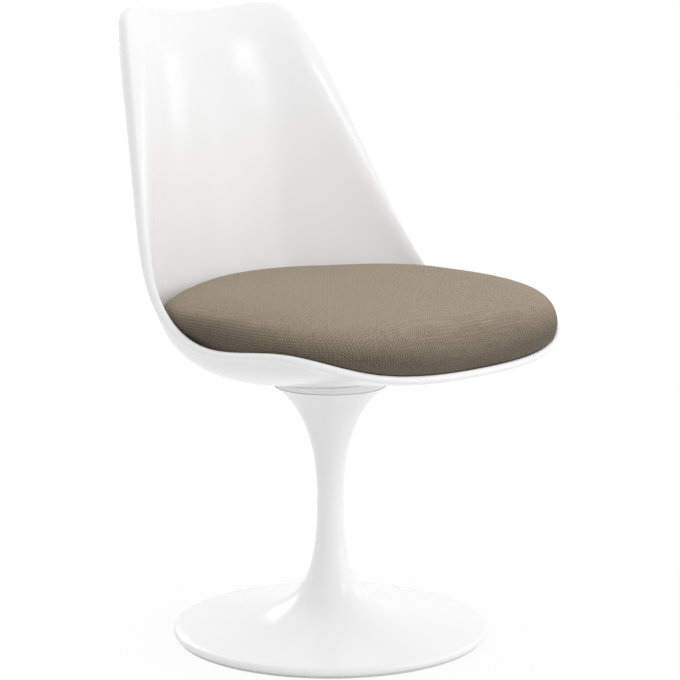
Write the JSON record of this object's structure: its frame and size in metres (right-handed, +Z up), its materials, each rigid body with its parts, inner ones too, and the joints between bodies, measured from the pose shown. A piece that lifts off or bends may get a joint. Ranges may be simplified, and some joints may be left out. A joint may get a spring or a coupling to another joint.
{
  "type": "swivel pedestal dining chair",
  "caption": "Armless dining chair: a one-piece moulded seat shell with winged back turns on a cast trumpet pedestal; a woven seat cushion lifts off.",
  "frame": {"origin": "on the floor, on the swivel axis, under the middle of the round foot", "axes": "+Z up along the swivel axis; the chair faces -Y; X runs across the seat, and the chair is the same on both sides of X = 0"},
  "size_m": [0.4946, 0.532, 0.8082],
  "materials": {
    "shell_white": "gloss white moulding",
    "pedestal_white": "gloss white coating on a casting",
    "cushion_cloth": "fine taupe weave",
    "cushion_foam": "open-cell foam",
    "tape": "hook and loop tape",
    "gasket_rubber": "light grey rubber",
    "seal_plastic": "low-friction plastic",
    "hub_white": "satin white coating",
    "steel": "ground steel",
    "bush_brass": "plain bearing metal",
    "plate_steel": "black coating",
    "bolt_steel": "zinc plated",
    "floor_plastic": "clear-white soft plastic"
  },
  "bodies": {
    "base": {"pedestal": "pedestal_white", "floor_ring": "floor_plastic", "upper_bush": "bush_brass", "lower_bush": "bush_brass", "lower_race": "steel", "swivel_seal": "seal_plastic"},
    "cage": {"bearing_cage": "seal_plastic", "bearing_balls": "steel"},
    "seat": {"seat_shell": "shell_white", "swivel_hub": "hub_white", "hub_gasket": "gasket_rubber", "backing_plate": "plate_steel", "seat_bolts": "bolt_steel", "hook_tapes": "tape", "spindle": "steel", "upper_race": "steel", "retaining_washer": "steel", "retaining_clip": "steel"},
    "cushion": {"cushion_cover": "cushion_cloth", "cushion_foam": "cushion_foam", "loop_tapes": "tape"}
  },
  "joints": [
    {"name": "seat_swivel", "type": "hinge", "parent": "base", "child": "seat", "pos_m": [0, 0, 0.33], "axis": [0, 0, 1], "continuous": true},
    {"name": "cage_roll", "type": "hinge", "parent": "base", "child": "cage", "pos_m": [0, 0, 0.318], "axis": [0, 0, 1], "continuous": true},
    {"name": "cushion_lift", "type": "slide", "parent": "seat", "child": "cushion", "axis": [0, 0, 1], "range_m": [0, 0.3]}
  ],
  "couplings": [
    {"joint": "cage_roll", "follows": "seat_swivel", "ratio": 0.5}
  ]
}
